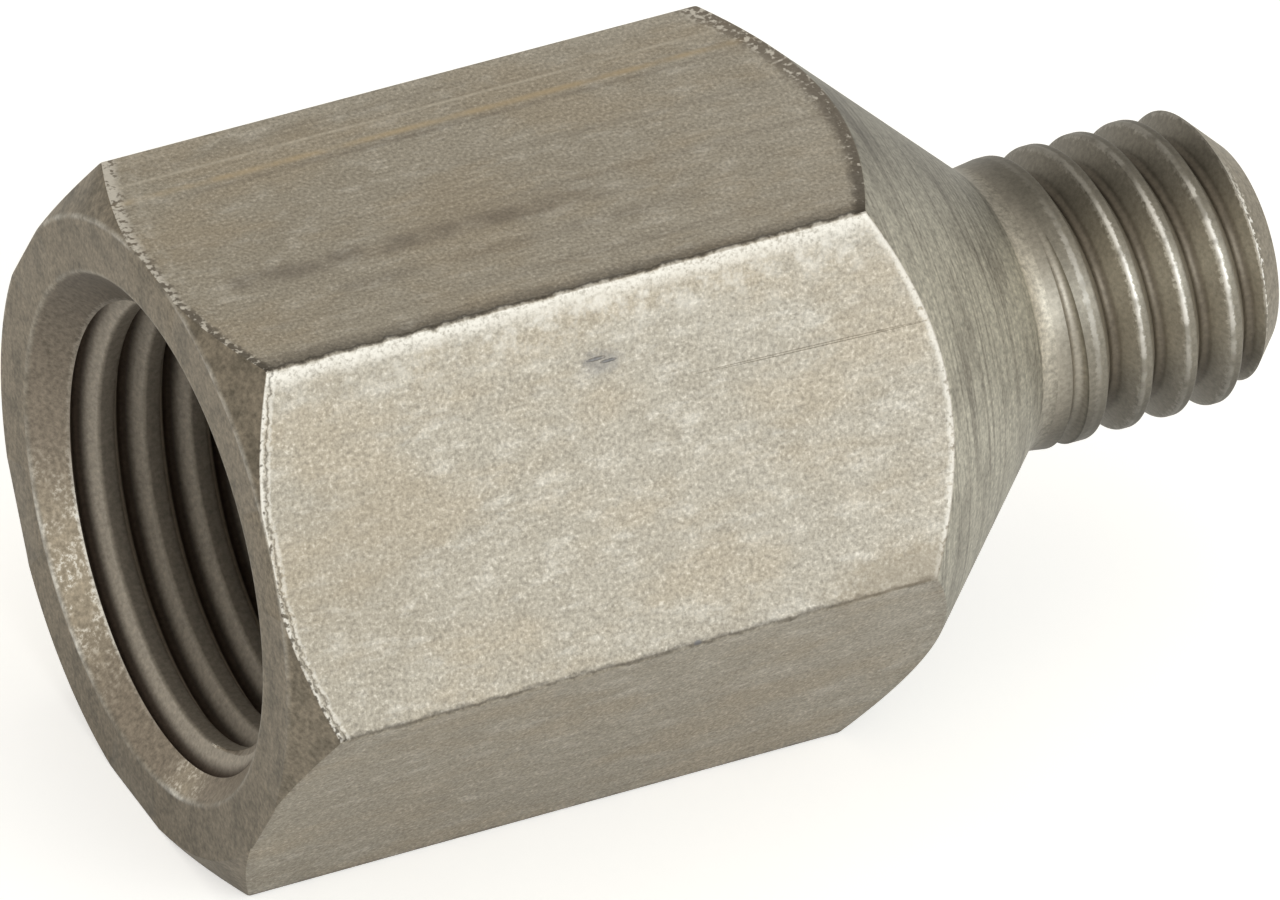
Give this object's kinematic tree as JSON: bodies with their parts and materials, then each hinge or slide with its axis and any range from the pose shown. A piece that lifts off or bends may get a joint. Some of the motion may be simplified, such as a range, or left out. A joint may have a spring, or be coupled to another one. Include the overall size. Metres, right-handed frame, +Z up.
{
  "type": "threaded extension",
  "caption": "Hexagonal metal extension with a countersunk tapped hole at one end and a cone leading to a smaller threaded stud at the other, for joining or offsetting threaded parts.",
  "frame": {"origin": "on the common axis of the tapped hole and the stud, halfway along the part", "axes": "+X along the axis from the open end towards the stud, +Z up from the flat that the part lies on, Y across corners"},
  "size_m": [0.024, 0.0148, 0.013],
  "materials": {
    "stainless_steel": "drawn hexagon flats, turned ends and cut threads, bare"
  },
  "bodies": {
    "root": {"threaded_extension": "stainless_steel"}
  },
  "joints": []
}
